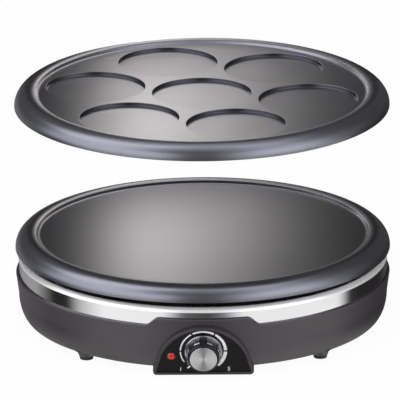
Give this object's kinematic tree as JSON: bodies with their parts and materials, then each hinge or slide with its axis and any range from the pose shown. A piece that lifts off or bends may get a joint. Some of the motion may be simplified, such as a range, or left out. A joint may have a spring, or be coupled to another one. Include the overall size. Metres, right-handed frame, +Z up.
{
  "type": "electric crepe maker",
  "caption": "Round mains crepe maker: domed control panel with thermostat dial, steel band over a charcoal housing, flat plate seated and a pancake plate with shallow wells held above.",
  "frame": {"origin": "on the table, under the common axis of the base and both plates", "axes": "+Z up; the control panel faces -Y; +X to the right as seen by the user in front of the panel"},
  "size_m": [0.3799, 0.4071, 0.2471],
  "materials": {
    "housing_plastic": "fine-grained charcoal moulding, lightly worn at the lip",
    "panel_plastic": "charcoal moulding, satin rim",
    "panel_gloss": "polished black",
    "dial_print": "white print",
    "band_steel": "polished stainless sheet",
    "cover_plastic": "dark moulding",
    "pad_rubber": "dull",
    "zinc_steel": "zinc plated",
    "tray_metal": "bright reflector sheet, slightly heat stained",
    "heater_sheath": "oxidised sheath",
    "spring_steel": "spring strip",
    "ceramic": "unglazed steatite",
    "brass": "plain brass",
    "copper": "drawn copper",
    "thermostat_case": "phenolic moulding",
    "lamp_red": "red moulded lens",
    "lamp_body": "pale moulding",
    "block_nylon": "natural nylon",
    "gland_nylon": "black nylon",
    "wire_brown": "silicone insulation",
    "wire_blue": "silicone insulation",
    "wire_green": "silicone insulation",
    "knob_black": "black moulding, satin",
    "knob_silver": "satin metallised skirt",
    "knob_cap": "spun, fine circular turning marks",
    "pointer_white": "white line",
    "nonstick": "cast aluminium under a dark, fine-grained non-stick coating"
  },
  "bodies": {
    "base": {"base_housing": "housing_plastic", "steel_band": "band_steel", "bottom_cover": "cover_plastic", "cover_screws": "zinc_steel", "foot_pads": "pad_rubber", "reflector_tray": "tray_metal", "tray_screws": "zinc_steel", "plate_studs": "zinc_steel", "heating_element": "heater_sheath", "heater_clips": "spring_steel", "heater_bushes": "ceramic", "heater_terminals": "brass", "control_panel_frame": "panel_plastic", "panel_insert": "panel_gloss", "dial_scale": "dial_print", "pilot_lamp_lens": "lamp_red", "pilot_lamp_bezel": "knob_black", "pilot_lamp_body": "lamp_body", "thermostat_body": "thermostat_case", "thermostat_nut": "zinc_steel", "sensor_bulb": "copper", "capillary_tube": "copper", "bulb_clips": "spring_steel", "thermal_fuse": "lamp_body", "fuse_clip": "spring_steel", "terminal_block": "block_nylon", "terminal_screws": "brass", "cord_gland": "gland_nylon", "gland_nut": "gland_nylon", "earth_tag": "zinc_steel", "earth_screw": "zinc_steel", "live_wire": "wire_brown", "neutral_wire": "wire_blue", "earth_wire": "wire_green", "control_wire": "wire_brown", "heater_wire": "wire_brown"},
    "control_knob": {"thermostat_shaft": "zinc_steel", "knob_core": "knob_black", "knob_skirt": "knob_silver", "knob_cap": "knob_cap", "knob_pointer": "pointer_white"},
    "flat_plate": {"flat_plate": "nonstick"},
    "pancake_plate": {"pancake_plate": "nonstick"}
  },
  "joints": [
    {"name": "knob_turn", "type": "hinge", "parent": "base", "child": "control_knob", "pos_m": [0, -0.1865, 0.03], "axis": [0, 0.9681, 0.2504], "range_deg": [0, 270]},
    {"name": "flat_plate_lift", "type": "slide", "parent": "base", "child": "flat_plate", "axis": [0, 0, 1], "range_m": [0, 0.08]},
    {"name": "pancake_plate_lift", "type": "slide", "parent": "flat_plate", "child": "pancake_plate", "axis": [0, 0, 1], "range_m": [-0.14, 0]}
  ]
}
